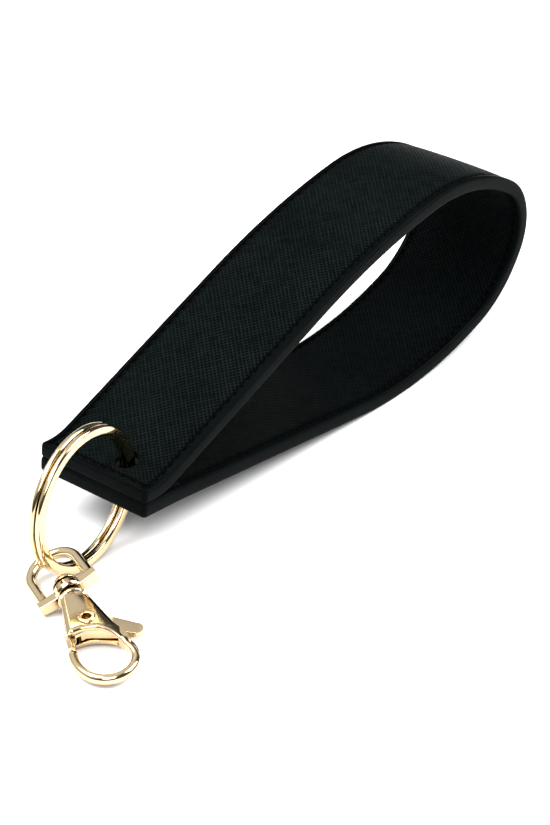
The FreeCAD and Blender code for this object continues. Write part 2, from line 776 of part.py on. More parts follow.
def arm(body, name, points, end_mid):
    """One arm of the lever: straight sides and a rounded end between the two middle points."""
    sketch = new_sketch(body, "XY_Plane", name + "_sketch")
    half = len(points) // 2
    for k, (a, b) in enumerate(zip(points, points[1:] + points[:1]), start=1):
        sketch.addGeometry(Part.Arc(a, end_mid, b) if k == half else Part.LineSegment(a, b))
    pad(body, sketch, name + "_pad", "dims.lever_depth", midplane=True)


def build_lever():
    """The gate and its thumb tab in one piece, turning on the pivot pin."""
    body = new_body("lever", hook_placement())
    boss_radius = dim("lever_boss")
    boss = new_sketch(body, "XY_Plane", "lever_boss_sketch")
    circle(boss, dim("pin_x"), dim("pin_y"), boss_radius, "dims.lever_boss")
    pad(body, boss, "lever_boss_pad", "dims.lever_depth", midplane=True)
    root = boss_radius - dim("arm_sink")
    sweep = dim("gate_sweep")
    tip = dim("gate_angle")
    tip_spread = dim("gate_spread")
    arm(body, "gate", [pin_polar(root, dim("gate_low_angle")),
                       pin_polar(dim("gate_heel"), dim("gate_heel_angle")),
                       pin_polar(sweep, tip - tip_spread),
                       pin_polar(sweep, tip + tip_spread),
                       pin_polar(dim("gate_hollow"), dim("gate_hollow_angle")),
                       pin_polar(root, dim("gate_high_angle"))],
        pin_polar(sweep, tip))
    turn = dim("tab_angle")
    spread = dim("tab_spread")
    root_spread = dim("tab_root_spread")
    shoulder = dim("tab_shoulder")
    arm(body, "tab", [pin_polar(root, turn - root_spread), pin_polar(shoulder, turn - spread),
                      pin_polar(shoulder, turn + spread), pin_polar(root, turn + root_spread)],
        pin_polar(dim("tab_reach"), turn))
    bore = new_sketch(body, "XY_Plane", "lever_bore_sketch")
    circle(bore, dim("pin_x"), dim("pin_y"), dim("pin_radius") + dim("pin_clear"),
           "dims.pin_radius + dims.pin_clear")
    cut_both_ways(body, bore, "lever_bore", "2 * dims.lever_depth")
    cut_spring_seat(body)


def cut_spring_seat(body):
    """A recess in the lever's back face for the coil, with a wedge for the sweep of each leg."""
    seat = new_sketch(body, "XY_Plane", "spring_seat_sketch", lift="-dims.lever_depth / 2")
    circle(seat, dim("pin_x"), dim("pin_y"), dim("spring_seat"), "dims.spring_seat")
    cut_both_ways(body, seat, "spring_seat", "2 * dims.seat_depth")
    far = dim("spring_radius") + dim("spring_leg")
    for name, low, high in (("gate", -118, -38), ("anchor", 150, 255)):
        wedge = new_sketch(body, "XY_Plane", name + "_wedge_sketch", lift="-dims.lever_depth / 2")
        middle = (low + high) / 2
        points = [pin_polar(0.5, middle), pin_polar(far, low), pin_polar(far, middle), pin_polar(far, high)]
        closed_lines(wedge, [(point.x, point.y) for point in points])
        cut_both_ways(body, wedge, name + "_wedge", "2 * dims.seat_depth")


def build_lever_spring():
    """A torsion spring round the pin: one leg on the slot's end, one along the gate."""
    body = new_body("lever_spring", hook_placement())
    x = dim("pin_x")
    y = dim("pin_y")
    r = dim("spring_radius")
    low = dim("spring_low")
    coil = new_sketch(body, "YZ_Plane", "coil_section", lift="dims.pin_x")
    circle(coil, y - r, low, dim("spring_wire"), "dims.spring_wire")
    coil.addGeometry(Part.LineSegment(Vector(y, low, 0), Vector(y, low + 1, 0)), True)
    helix = body.newObject("PartDesign::AdditiveHelix", "coil")
    helix.Profile = coil
    helix.ReferenceAxis = (coil, ["Axis0"])
    helix.Mode = 1
    helix.setExpression("Pitch", "dims.spring_pitch")
    helix.setExpression("Turns", "dims.spring_turns")
    anchor = new_sketch(body, "YZ_Plane", "anchor_leg_sketch", lift="dims.slot_start")
    circle(anchor, y - r, low, dim("spring_wire"), "dims.spring_wire")
    pad(body, anchor, "anchor_leg", "dims.pin_x - dims.slot_start")
    turn = dim("spring_turns") * 360 - 90
    top = low + dim("spring_pitch") * dim("spring_turns")
    start = pin_polar(r, turn)
    gate = body.newObject("Sketcher::SketchObject", "gate_leg_sketch")
    gate.AttachmentSupport = [(origin_plane(body, "YZ_Plane"), "")]
    gate.MapMode = "FlatFace"
    swing = Rotation(Vector(0, 1, 0), turn + 90)
    gate.AttachmentOffset = Placement(Vector(start.y, top, start.x), swing)
    index = gate.addGeometry(Part.Circle(Vector(0, 0, 0), Vector(0, 0, 1), dim("spring_wire")))
    add_named(gate, "wire", Sketcher.Constraint("Radius", index, dim("spring_wire")), "dims.spring_wire")
    pad(body, gate, "gate_leg", "dims.spring_leg")


def build_metal():
    build_split_ring()
    build_swivel_eye()
    build_swivel_post()
    build_hook_body()
    build_pivot_pin()
    build_lever()
    build_lever_spring()


def check_and_export():
    DOC.recompute()
    bad = [f"{o.Label}: {o.State}" for o in DOC.Objects if "Invalid" in o.State or "Error" in o.State]
    for part in SUBPARTS:
        if part.Shape.isNull() or not part.Shape.isValid():
            bad.append(part.Label + ": shape null or not valid")
    if bad:
        raise RuntimeError("; ".join(bad))
    os.makedirs("parts", exist_ok=True)
    for part in SUBPARTS:
        part.Shape.exportStep(f"parts/{part.Label}.step")
        print(part.Label, "solids", len(part.Shape.Solids), "volume", round(part.Shape.Volume, 2),
              "box", part.Shape.BoundBox)


build_strap()
build_metal()
check_and_export()
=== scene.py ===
import json
import math

import bmesh
import bpy
import numpy as np
from mathutils import Matrix, Vector


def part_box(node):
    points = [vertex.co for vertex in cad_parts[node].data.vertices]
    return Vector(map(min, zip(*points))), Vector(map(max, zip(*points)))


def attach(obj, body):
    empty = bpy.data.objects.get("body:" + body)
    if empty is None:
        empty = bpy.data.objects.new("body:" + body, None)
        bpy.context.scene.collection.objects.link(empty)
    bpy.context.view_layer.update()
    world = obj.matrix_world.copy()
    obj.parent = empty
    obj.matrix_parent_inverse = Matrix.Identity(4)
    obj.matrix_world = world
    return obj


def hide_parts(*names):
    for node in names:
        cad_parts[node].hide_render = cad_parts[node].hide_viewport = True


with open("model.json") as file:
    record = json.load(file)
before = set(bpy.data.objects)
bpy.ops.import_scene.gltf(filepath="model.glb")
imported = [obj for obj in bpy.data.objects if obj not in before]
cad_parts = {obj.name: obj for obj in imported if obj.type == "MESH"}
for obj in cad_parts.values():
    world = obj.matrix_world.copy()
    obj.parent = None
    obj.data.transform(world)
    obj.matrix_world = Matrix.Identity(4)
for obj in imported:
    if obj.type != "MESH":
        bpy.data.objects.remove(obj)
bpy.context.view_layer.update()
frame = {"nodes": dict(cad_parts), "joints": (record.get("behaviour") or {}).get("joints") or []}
JOINTS = {joint["name"]: joint for joint in frame["joints"]}
MM = 0.001

# ---------------------------------------------------------------- sizes, in millimetres and degrees

# the band: END_STEPS are the skin's rows of points next to each end, measured in from the painted coat
STRAP_WIDTH = 28.0
BAND_THICK = 3.0
PLY = 0.9
COAT = 0.5
BAND_STEP = 0.8
END_STEPS = (0.0, 0.03, 0.1, 0.2, 0.4, 0.6, 0.8, 1.0, 1.2, 1.4, 1.6, 1.8, 2.1, 2.5)
LEG_GAP = 0.1
CORNER = 0.9
CORNER_STEPS = 8
STRAP_ORIGIN = (-45.97, 11.55, 13.57)
STRAP_PITCH = 6.13
HOLE_RADIUS = 2.3
HOLE_FROM_END = 5.8
HOLE_OFFSET = -3.88
PUNCH_REACH = 8.0
PUNCH_SIDES = 64
# the band's middle line: straights (length, None) and arcs (radius, turn in degrees, positive upwards);
# the two straights left open close the loop, and the belly arc turns what is left
STACK_RUN = 1.9
LOWER_RUN = 8.0
LIFT = (14.0, 26.3)
TOP_ARCS = ((173.0, -13.2), (42.2, -40.9), (12.5, -83.9), (25.4, -43.4))
BELLY_RADIUS = 89.7
SETTLE = (119.0, 2.1)

# stitches, sunk seams, the padding's crown, and the painted edge, whose section is rounded by two powers
SEAM_INSET = 1.6
END_SEAM = 1.9
LINING_SEAM_START = 12.0
STITCH_PITCH = 2.3
STITCH_LENGTH = 1.9
STITCH_RADIUS = 0.27
STITCH_FLATNESS = 0.85
STITCH_LEAN = 0.09
STITCH_DIVE = 0.16
STITCH_PROUD = 0.06
ROW_GAP = 1.2
GROOVE_DEPTH = 0.4
GROOVE_WIDTH = 0.5
CROWN = 0.3
CROWN_RUN = 6.0
CROWN_POWER = 2.5
COAT_LAP = 0.7
COAT_PROUD = 0.05
COAT_LIP = 0.2
COAT_STEPS = 20
COAT_OUT_POWER = 0.42
COAT_UP_POWER = 0.5
GRAIN_PITCH = 0.78

# split ring
RING_RADIAL = 2.35
COIL_THICK = 1.32
COIL_GAP = 0.18
COIL_ROUND = 0.64
JOG_START = 330.0
JOG_SWEEP = 32.0
COIL_STEPS = 160
JOG_STEPS = 16

# the hook's body, in its own frame: X from the swivel towards the loop, Z out of the front
LOOP_CENTRE = (20.7, 1.0)
LOOP_RADIUS = 5.3
RIM_X = 13.2
BODY_FRONT = 2.3
WIRE_FRONT = 1.1
TAPER_INSET = 0.8
# its faces fall away right of a sloping line, and left of the bevel's line; CHEEK_LEAST is what always stays
NECK_START = 2.7
NECK_LEFT = -2.5
SIDE_SLOPE = -0.172
ROUND_LINE = -0.9
ROUND_LINE_SLOPE = 0.24
ROUND_FALL = 0.07
LEFT_BEVEL = 0.75
LEFT_BEVEL_FALL = 0.7
CHEEK_BACK = 1.4
CHEEK_LEAST = 1.35
BEAD_RADIUS = 0.62
BEAD_SINK = 0.1
BEAD_LOOP_SWEEP = 95
# the lever, with distances and angles from the gate's pin
TAB_ANGLE = 61
TAB_SPREAD = 8.0
TAB_SHOULDER = 9.8
TAB_SLOPE = 0.16
TAB_SLOPE_START = 5.0
TAB_LEAST = 0.3
LEVER_FRONT = 1.1
GATE_LINE = ((3.4, -66), (4.7, -60), (6.0, -48), (7.6, -38))
GATE_LINE_RADIUS = 0.3
GRIP_LEVELS = (-0.55, 0.0, 0.55)
GRIP_REACHES = (6.6, 7.6, 8.6, 9.6)
GRIP_LEAN = 1.6
GRIP_RADIUS = 0.16


def hook_axes():
    """The hook's own frame, from its two joints: X along the swivel, Z along the gate's pin."""
    x = Vector(JOINTS["hook_swivel"]["axis"]).normalized()
    z = Vector(JOINTS["gate_open"]["axis"]).normalized()
    place = Matrix((x, z.cross(x), z)).transposed().to_4x4()
    place.translation = Vector(JOINTS["hook_swivel"]["pos_m"])
    return place


HOOK = hook_axes()
PIN = HOOK.inverted() @ Vector(JOINTS["gate_open"]["pos_m"]) / MM


# ---------------------------------------------------------------- mesh helpers

def add_object(name, mesh, material, smooth=True):
    piece = bpy.data.objects.new(name, mesh)
    bpy.context.scene.collection.objects.link(piece)
    if smooth:
        mesh.shade_smooth()
    mesh.materials.clear()
    mesh.materials.append(material)
    return piece


def make_mesh(name, points, faces):
    mesh = bpy.data.meshes.new(name)
    mesh.from_pydata([tuple(point) for point in points], [], faces)
    mesh.update()
    return mesh


def ring_faces(rings, count, closed=False, caps=True):
    """Quads between rings of count points each, with a cap at each end unless the sweep is closed."""
    faces = []
    for k in range(rings if closed else rings - 1):
        a = k * count
        b = (k + 1) % rings * count
        for j in range(count):
            i = (j + 1) % count
            faces.append((a + j, a + i, b + i, b + j))
    if caps and not closed:
        faces.append(tuple(reversed(range(count))))
        faces.append(tuple(range((rings - 1) * count, rings * count)))
    return faces


def outward(mesh):
    shape = bmesh.new()
    shape.from_mesh(mesh)
    bmesh.ops.recalc_face_normals(shape, faces=shape.faces)
    shape.to_mesh(mesh)
    shape.free()
    return mesh


def applied(piece):
    """Replaces the piece's mesh with what its modifiers make of it."""
    graph = bpy.context.evaluated_depsgraph_get()
    graph.update()
    mesh = bpy.data.meshes.new_from_object(piece.evaluated_get(graph))
    piece.modifiers.clear()
    piece.data = mesh
    return piece


def finish_piece(piece, body, slot, *nodes):
    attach(piece, body)
    if nodes:
        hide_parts(*nodes)
    return piece


# ---------------------------------------------------------------- materials

class Shader:
    """A Principled material with a few helpers for its procedural inputs."""

    def __init__(self, name):
        self.material = bpy.data.materials.new(name)
        self.material.use_nodes = True
        self.tree = self.material.node_tree
        self.bsdf = self.tree.nodes["Principled BSDF"]

    def node(self, kind, **settings):
        made = self.tree.nodes.new(kind)
        for key, value in settings.items():
            if key in made.inputs:
                made.inputs[key].default_value = value
            else:
                setattr(made, key, value)
        return made

    def link(self, source, target):
        self.tree.links.new(source, target)

    def set(self, **values):
        for key, value in values.items():
            self.bsdf.inputs[key.replace("_", " ")].default_value = value

    def math(self, operation, a, b=None, clamp=False):
        made = self.node("ShaderNodeMath", operation=operation, use_clamp=clamp)
        for index, value in enumerate((a, b)):
            if value is None:
                continue
            if isinstance(value, (int, float)):
                made.inputs[index].default_value = value
            else:
                self.link(value, made.inputs[index])
        return made.outputs[0]

    def noise(self, scale, detail=3.0, vector=None):
        made = self.node("ShaderNodeTexNoise", Scale=scale, Detail=detail)
        if vector is None:
            vector = self.node("ShaderNodeTexCoord").outputs["Object"]
        self.link(vector, made.inputs["Vector"])
        return made.outputs["Fac"]

    def ramp(self, value, stops):
        made = self.node("ShaderNodeValToRGB")
        self.link(value, made.inputs["Fac"])
        elements = made.color_ramp.elements
        while len(elements) < len(stops):
            elements.new(0.5)
        for element, (position, colour) in zip(elements, stops):
            element.position = position
            element.color = (*colour, 1.0)
        return made.outputs["Color"]

    def tint(self, value, stops):
        """Colours the surface by a ramp over a value of 0 to 1."""
        self.link(self.ramp(value, stops), self.bsdf.inputs["Base Color"])

    def scaled(self, value, factor, offset=0.0):
        product = self.math("MULTIPLY", value, factor)
        return self.math("ADD", product, offset) if offset else product

    def spread(self, value, low, high, socket):
        """Maps 0..1 to low..high on one of the shader's inputs."""
        made = self.node("ShaderNodeMapRange")
        self.link(value, made.inputs["Value"])
        made.inputs["To Min"].default_value = low
        made.inputs["To Max"].default_value = high
        self.link(made.outputs["Result"], self.bsdf.inputs[socket])

    def bump(self, height, distance, strength):
        made = self.node("ShaderNodeBump", Strength=strength, Distance=distance)
        self.link(height, made.inputs["Height"])
        self.link(made.outputs["Normal"], self.bsdf.inputs["Normal"])


def grain_ridges(shader, along, across, sign, drift):
    """One set of the grain's ridges, on one diagonal, each higher or lower than its neighbours."""
    period = GRAIN_PITCH * MM * math.sqrt(2)
    lean = shader.scaled(across, sign)
    turn = shader.math("DIVIDE", shader.math("ADD", along, lean), period)
    run = shader.math("DIVIDE", shader.math("SUBTRACT", along, lean), period)
    place = shader.node("ShaderNodeCombineXYZ", Z=float(sign))
    shader.link(turn, place.inputs["X"])
    shader.link(shader.scaled(run, 0.22), place.inputs["Y"])
    unevenness = shader.math("ADD", shader.noise(0.9, 1.0, place.outputs[0]), 0.45)
    phase = shader.math("ADD", shader.scaled(turn, 2 * math.pi), drift)
    wave = shader.scaled(shader.math("SINE", phase), 0.5, 0.5)
    return shader.math("MULTIPLY", wave, unevenness)


def leather_material(name, low, high, worn):
    """Cross-hatched grain: two sets of ridges on the diagonals, with dark pits between them, and painted
    shade and dirt along the stitch creases.
    """
    shader = Shader(name)
    grain = shader.node("ShaderNodeAttribute", attribute_name="grain")
    split = shader.node("ShaderNodeSeparateXYZ")
    shader.link(grain.outputs["Vector"], split.inputs[0])
    along, across, seam = split.outputs
    drift = shader.scaled(shader.math("SUBTRACT", shader.noise(260.0, 2.0), 0.5), 1.6)
    left = grain_ridges(shader, along, across, 1, drift)
    right = grain_ridges(shader, along, across, -1, drift)
    height = shader.math("MAXIMUM", left, right, clamp=True)
    fine = shader.noise(9000.0, 2.0)
    height = shader.math("ADD", shader.scaled(height, 0.88), shader.scaled(fine, 0.12))
    tone = shader.math("MULTIPLY", height, shader.scaled(shader.noise(60.0, 4.0), 0.5, 0.75))
    # darkens the colour towards black along the stitch creases and the end seam: painted crease shade, with
    # dirt
    tone = shader.math("MULTIPLY", tone, shader.math("SUBTRACT", 1.0, seam))
    shader.tint(tone, ((0.34, low), (0.62, high), (0.95, worn)))
    shader.spread(height, 0.66, 0.46, "Roughness")
    shader.bump(height, 0.00012, 0.9)
    shader.set(Specular_IOR_Level=0.010, Sheen_Weight=0.008, Sheen_Roughness=0.5)
    return shader.material


def edge_paint_material():
    """Satin edge paint: smooth, with faint brush waves and scuffs."""
    shader = Shader("edge_paint")
    shader.tint(shader.noise(140.0, 4.0), ((0.3, (0.0005, 0.0012, 0.0012)), (0.7, (0.0011, 0.0022, 0.0022))))
    shader.spread(shader.noise(700.0, 3.0), 0.36, 0.52, "Roughness")
    shader.bump(shader.noise(900.0, 3.0), 0.00004, 0.5)
    shader.set(Specular_IOR_Level=0.02)
    return shader.material


def thread_material():
    """Twisted bonded thread."""
    shader = Shader("thread")
    grain = shader.node("ShaderNodeAttribute", attribute_name="grain")
    wave = shader.node("ShaderNodeTexWave", Scale=520.0, Distortion=1.0, bands_direction="DIAGONAL")
    shader.link(grain.outputs["Vector"], wave.inputs["Vector"])
    twist = wave.outputs["Fac"]
    shader.tint(twist, ((0.2, (0.0004, 0.0009, 0.0009)), (0.9, (0.002, 0.003, 0.003))))
    shader.bump(twist, 0.00005, 0.8)
    shader.set(Roughness=0.6, Specular_IOR_Level=0.03)
    return shader.material


def board_material():
    """The bonded fibre board inside the band, which shows only in the hole."""
    shader = Shader("stiffener_board")
    shader.tint(shader.noise(2200.0, 5.0), ((0.3, (0.01, 0.01, 0.01)), (0.7, (0.03, 0.028, 0.026))))
    shader.bump(shader.noise(3000.0, 4.0), 0.00006, 0.7)
    shader.set(Roughness=0.85)
    return shader.material


def gold_material(name, tint, deep, painted_recess_shade, polish):
    """Polished pale gold plating: faint tint clouds, buffing waves and fine wear, with painted shade, dull
    orange, in its recesses.
    """
    shader = Shader(name)
    open_tint = shader.ramp(shader.noise(90.0, 3.0), ((0.35, deep), (0.7, tint)))
    # ambient occlusion mixes in the recess colour: painted shade in hollows, crevices and between parts
    shade = shader.node("ShaderNodeAmbientOcclusion", Distance=0.0022)
    shade.samples = 6
    openness = shader.ramp(shade.outputs["AO"], ((0.3, (0, 0, 0)), (0.76, (1, 1, 1))))
    mix = shader.node("ShaderNodeMix", data_type="RGBA")
    mix.inputs["A"].default_value = (*painted_recess_shade, 1.0)
    shader.link(openness, mix.inputs["Factor"])
    shader.link(open_tint, mix.inputs["B"])
    shader.link(mix.outputs["Result"], shader.bsdf.inputs["Base Color"])
    shader.spread(shader.noise(1600.0, 5.0), *polish, "Roughness")
    shader.bump(shader.noise(420.0, 2.0), 0.00003, 0.35)
    shader.set(Metallic=1.0)
    return shader.material


def spring_material():
    """Drawn steel wire, unplated."""
    shader = Shader("spring_steel")
    shader.tint(shader.noise(2000.0, 3.0), ((0.3, (0.42, 0.42, 0.43)), (0.7, (0.6, 0.6, 0.6))))
    shader.spread(shader.noise(3500.0, 3.0), 0.2, 0.4, "Roughness")
    shader.bump(shader.noise(5000.0, 2.0), 0.00001, 0.5)
    shader.set(Metallic=1.0)
    return shader.material


LEATHER = leather_material(
    "leather", low=(0.0, 0.0001, 0.0001), high=(0.0008, 0.0018, 0.0018), worn=(0.0042, 0.0070, 0.0070))
# the lining is the same leather with its colours darkened to about six tenths: painted shade inside the loop
SHADED_LINING = leather_material(
    "lining", low=(0.0, 0.0001, 0.0001), high=(0.0005, 0.0012, 0.0012), worn=(0.0026, 0.0042, 0.0042))
EDGE = edge_paint_material()
THREAD = thread_material()
BOARD = board_material()
# each gold's recess colour is painted shade, mixed in where ambient occlusion finds hollows
GOLD = gold_material(
    "gold_metal", tint=(0.72, 0.58, 0.37), deep=(0.68, 0.53, 0.32),
    painted_recess_shade=(0.28, 0.14, 0.03), polish=(0.07, 0.15))
RING_GOLD = gold_material(
    "ring_metal", tint=(0.72, 0.575, 0.35), deep=(0.67, 0.52, 0.30),
    painted_recess_shade=(0.22, 0.12, 0.03), polish=(0.05, 0.12))
STEEL = spring_material()


# ---------------------------------------------------------------- the band's middle line

class BandLine:
    """Straights and arcs in the strap's own plane, from the upper end round to the lower end."""

    def __init__(self):
        arcs = [LIFT, *TOP_ARCS]
        turned = sum(turn for _, turn in arcs)
        arcs.append((BELLY_RADIUS, -180 - SETTLE[1] - turned))
        rise = math.radians(LIFT[1])
        base = -math.pi - math.radians(SETTLE[1])
        start = np.array([0.0, (BAND_THICK + LEG_GAP) / 2])
        runs = [(STACK_RUN, None), arcs[0], (0.0, None), *arcs[1:], (0.0, None), SETTLE, (LOWER_RUN, None)]
        gap = np.array([0.0, -start[1]]) - self.lay(runs, start)
        across = math.cos(rise) * math.sin(base) - math.sin(rise) * math.cos(base)
        runs[2] = ((gap[0] * math.sin(base) - gap[1] * math.cos(base)) / across, None)
        runs[8] = ((gap[1] * math.cos(rise) - gap[0] * math.sin(rise)) / across, None)
        self.lay(runs, start)

    def lay(self, runs, start):
        """Notes where each run starts, and returns where the last one ends."""
        self.runs = []
        s = 0.0
        point = start
        heading = 0.0
        for size, turn in runs:
            length = size if turn is None else size * math.radians(abs(turn))
            self.runs.append((s, length, point, heading, size, turn))
            point, heading = self.along(self.runs[-1], length)
            s += length
        self.length = s
        return point

    @staticmethod
    def along(run, step):
        _, _, point, heading, size, turn = run
        if turn is None:
            return point + step * np.array([math.cos(heading), math.sin(heading)]), heading
        side = math.copysign(size, turn)
        centre = point + side * np.array([-math.sin(heading), math.cos(heading)])
        now = heading + step / side
        return centre - side * np.array([-math.sin(now), math.cos(now)]), now

    def at(self, s):
        """Point, tangent and outward normal at the distance s along the line."""
        run = next((r for r in reversed(self.runs) if s >= r[0] - 1e-9), self.runs[0])
        point, heading = self.along(run, s - run[0])
        tangent = np.array([math.cos(heading), math.sin(heading)])
        return point, tangent, np.array([-tangent[1], tangent[0]])


LINE = BandLine()


def strap_point(x, y, z):
    """From the strap's own frame, in millimetres, to the row frame, in metres."""
    pitch = math.radians(STRAP_PITCH)
    along = x * math.cos(pitch) + z * math.sin(pitch)
    up = z * math.cos(pitch) - x * math.sin(pitch)
    return Vector((STRAP_ORIGIN[0] + along, STRAP_ORIGIN[1] + y, STRAP_ORIGIN[2] + up)) * MM


def on_band(s, y, n):
    """The point n outwards of the middle line at the distance s, and y across."""
    point, _, normal = LINE.at(s)
    place = point + n * normal
    return strap_point(place[0], y, place[1])


def half_width(s):
    """Half the band's width at s, inside the painted coat, with both ends' corners rounded."""
    full = STRAP_WIDTH / 2 - COAT
    inner = CORNER - COAT
    end = min(s, LINE.length - s) - COAT
    if end >= inner:
        return full
    return full - inner + math.sqrt(max(inner ** 2 - (inner - max(end, 0.0)) ** 2, 0.0))


def set_grain(mesh, values):
    attribute = mesh.attributes.new("grain", "FLOAT_VECTOR", "POINT")
    attribute.data.foreach_set("vector", np.asarray(values, dtype=np.float32).ravel())


# ---------------------------------------------------------------- leather

def across_stops():
    """Places across the band, as shares of its half width, closer together at the seams."""
    seam = 1 - (SEAM_INSET - COAT) / (STRAP_WIDTH / 2 - COAT)
    groove = 0.05
    gap = 0.02
    middle = list(np.linspace(0, seam - groove - gap, 12))
    close = list(np.linspace(seam - groove, 1.0, 11))
    right = middle + close
    return [-value for value in reversed(right[1:])] + right


def band_stations():
    """Distances along the band, closer together at its two ends."""
    near = [COAT + step for step in END_STEPS]
    room = LINE.length - 2 * near[-1]
    count = int(room / BAND_STEP)
    middle = [near[-1] + room * k / count for k in range(1, count)]
    return near + middle + [LINE.length - s for s in reversed(near)]


def seam_share(s, y, outer):
    """1 along a line of stitching, falling to 0 beside it."""
    beside = abs(y) - (STRAP_WIDTH / 2 - SEAM_INSET)
    stitched = outer or LINING_SEAM_START < s < LINE.length - LINING_SEAM_START
    share = math.exp(-(beside / GROOVE_WIDTH) ** 2) if stitched else 0.0
    if outer:
        share = max(share, math.exp(-((min(s, LINE.length - s) - END_SEAM) / GROOVE_WIDTH) ** 2))
    return share


def face_height(s, y, outer):
    """The leather face's distance from the middle line: crowned between the seams, pulled in at them."""
    dip = GROOVE_DEPTH * seam_share(s, y, outer)
    if not outer:
        return BAND_THICK / 2 - dip
    end = min(s, LINE.length - s)
    share = min(abs(y) / (STRAP_WIDTH / 2 - SEAM_INSET), 1.0)
    swell = CROWN * (1 - share ** CROWN_POWER) * min(max(end - END_SEAM, 0.0) / CROWN_RUN, 1.0)
    return BAND_THICK / 2 + swell - dip


def leather_skin(name, outer, material, node):
    """One ply of the band as a closed sheet, shaped by padding and stitching, and flat where it lies."""
    side = 1 if outer else -1
    inner = BAND_THICK / 2 - PLY
    stops = across_stops()
    points = []
    grain = []
    stations = band_stations()
    for s in stations:
        width = half_width(s)
        face = [(stop * width, face_height(s, stop * width, outer)) for stop in stops]
        back = [(stop * width, inner) for stop in reversed(stops)]
        for y, n in face + back:
            point = on_band(s, y, side * n)
            point.z = max(point.z, 0.0)
            points.append(point)
            # the third value, the seam share, darkens the colour along the seams: painted crease shade, with
            # dirt
            grain.append((s * MM, y * MM, seam_share(s, y, outer)))
    mesh = make_mesh(name, points, ring_faces(len(stations), 2 * len(stops)))
    set_grain(mesh, grain)
    piece = add_object(name, outward(mesh), material)
    punch(piece)
    soften(piece)
    return finish_piece(piece, "strap", "leather" if outer else "lining", node)


def punch(piece):
    """Cuts the round hole through both stacked ends."""
    rings = []
    for height in (-PUNCH_REACH, PUNCH_REACH):
        for k in range(PUNCH_SIDES):
            a = 2 * math.pi * k / PUNCH_SIDES
            rings.append(strap_point(HOLE_FROM_END + HOLE_RADIUS * math.cos(a),
                                     HOLE_OFFSET + HOLE_RADIUS * math.sin(a), height))
    cutter = bpy.data.objects.new("cutter", outward(make_mesh("cutter", rings, ring_faces(2, PUNCH_SIDES))))
    bpy.context.scene.collection.objects.link(cutter)
    cut = piece.modifiers.new("hole", "BOOLEAN")
    cut.operation = "DIFFERENCE"
    cut.solver = "EXACT"
    cut.object = cutter
    applied(piece)
    bpy.data.objects.remove(cutter)


def soften(piece, angle=40.0):
    """Smooth shading that keeps the ply's cut edges crisp."""
    piece.data.shade_smooth()
    piece.data.set_sharp_from_angle(angle=math.radians(angle))


def coat_section():
    """The painted edge in section: (outwards from the plies, up), wrapping a little over both faces."""
    stand = BAND_THICK / 2 + COAT_PROUD
    section = []
    for k in range(COAT_STEPS + 1):
        t = math.pi * (k / COAT_STEPS - 0.5)
        out = (COAT + COAT_LAP) * abs(math.cos(t)) ** COAT_OUT_POWER - COAT_LAP
        up = stand * abs(math.sin(t)) ** COAT_UP_POWER
        section.append((out, math.copysign(up, math.sin(t))))
    section.append((-COAT_LAP, stand - COAT_LIP))
    section.append((-COAT_LAP, COAT_LIP - stand))
    return section


def edge_coat(name, side, node):
    """The coat along one long edge, between the two ends' corners."""
    section = coat_section()
    flat = STRAP_WIDTH / 2 - COAT
    stations = list(np.arange(CORNER, LINE.length - CORNER, BAND_STEP)) + [LINE.length - CORNER]
    points = [on_band(s, side * (flat + out), n) for s in stations for out, n in section]
    piece = add_object(name, outward(make_mesh(name, points, ring_faces(len(stations), len(section)))), EDGE)
    soften(piece, 60)
    return finish_piece(piece, "strap", "edge_paint", node)


def end_coat(name, level, node):
    """The coat across one leg's end and round its two corners."""
    section = coat_section()
    half = STRAP_WIDTH / 2 - CORNER
    path = []
    for side, start in ((1, 90.0), (-1, 180.0)):
        for k in range(CORNER_STEPS + 1):
            a = math.radians(start + 90 * k / CORNER_STEPS)
            path.append((CORNER, side * half, math.cos(a), math.sin(a)))
    points = []
    for x, y, ox, oy in path:
        for out, n in section:
            reach = max(CORNER - COAT + out, 0.02)
            points.append(strap_point(x + ox * reach, y + oy * reach, level + n))
    piece = add_object(name, outward(make_mesh(name, points, ring_faces(len(path), len(section)))), EDGE)
    soften(piece, 60)
    return finish_piece(piece, "strap", "edge_paint", node)


def add_stitch(points, faces, grain, centre, along, out):
    """One stitch: a fat spindle whose ends dive into the leather."""
    side = along.cross(out).normalized()
    lean = (along + side * STITCH_LEAN).normalized()
    rings = 9
    count = 10
    first = len(points)
    for k in range(rings):
        share = k / (rings - 1) * 2 - 1
        radius = STITCH_RADIUS * math.sqrt(max(1 - share ** 4, 0.02))
        middle = centre + (lean * share * STITCH_LENGTH / 2 - out * STITCH_DIVE * share ** 2) * MM
        for j in range(count):
            a = 2 * math.pi * j / count
            points.append(middle + (side * math.cos(a) + out * STITCH_FLATNESS * math.sin(a)) * radius * MM)
            grain.append((share * MM, a * STITCH_RADIUS * MM, 0.0))
    faces.extend(tuple(first + i for i in face) for face in ring_faces(rings, count))


def stitch_piece(name, places, node):
    """One row of stitches as one piece, each with a place, a direction and an outward side."""
    points = []
    faces = []
    grain = []
    for centre, along, out in places:
        add_stitch(points, faces, grain, centre, along, out)
    mesh = make_mesh(name, points, faces)
    set_grain(mesh, grain)
    return finish_piece(add_object(name, mesh, THREAD), "strap", "thread", node)


def edge_row(name, side, face, node):
    """Stitches along one long edge, on the outer face (1) or the lining (-1)."""
    y = side * (STRAP_WIDTH / 2 - SEAM_INSET)
    start = END_SEAM + ROW_GAP if face > 0 else LINING_SEAM_START
    room = LINE.length - 2 * start
    count = int(room / STITCH_PITCH)
    places = []
    for k in range(count):
        s = start + room * (k + 0.5) / count
        n = face_height(s, y, face > 0) + STITCH_PROUD
        here = on_band(s, y, face * n)
        along = (on_band(s + 0.1, y, face * n) - on_band(s - 0.1, y, face * n)).normalized()
        out = (on_band(s, y, face * (n + 1)) - here).normalized()
        places.append((here, along, out))
    return stitch_piece(name, places, node)


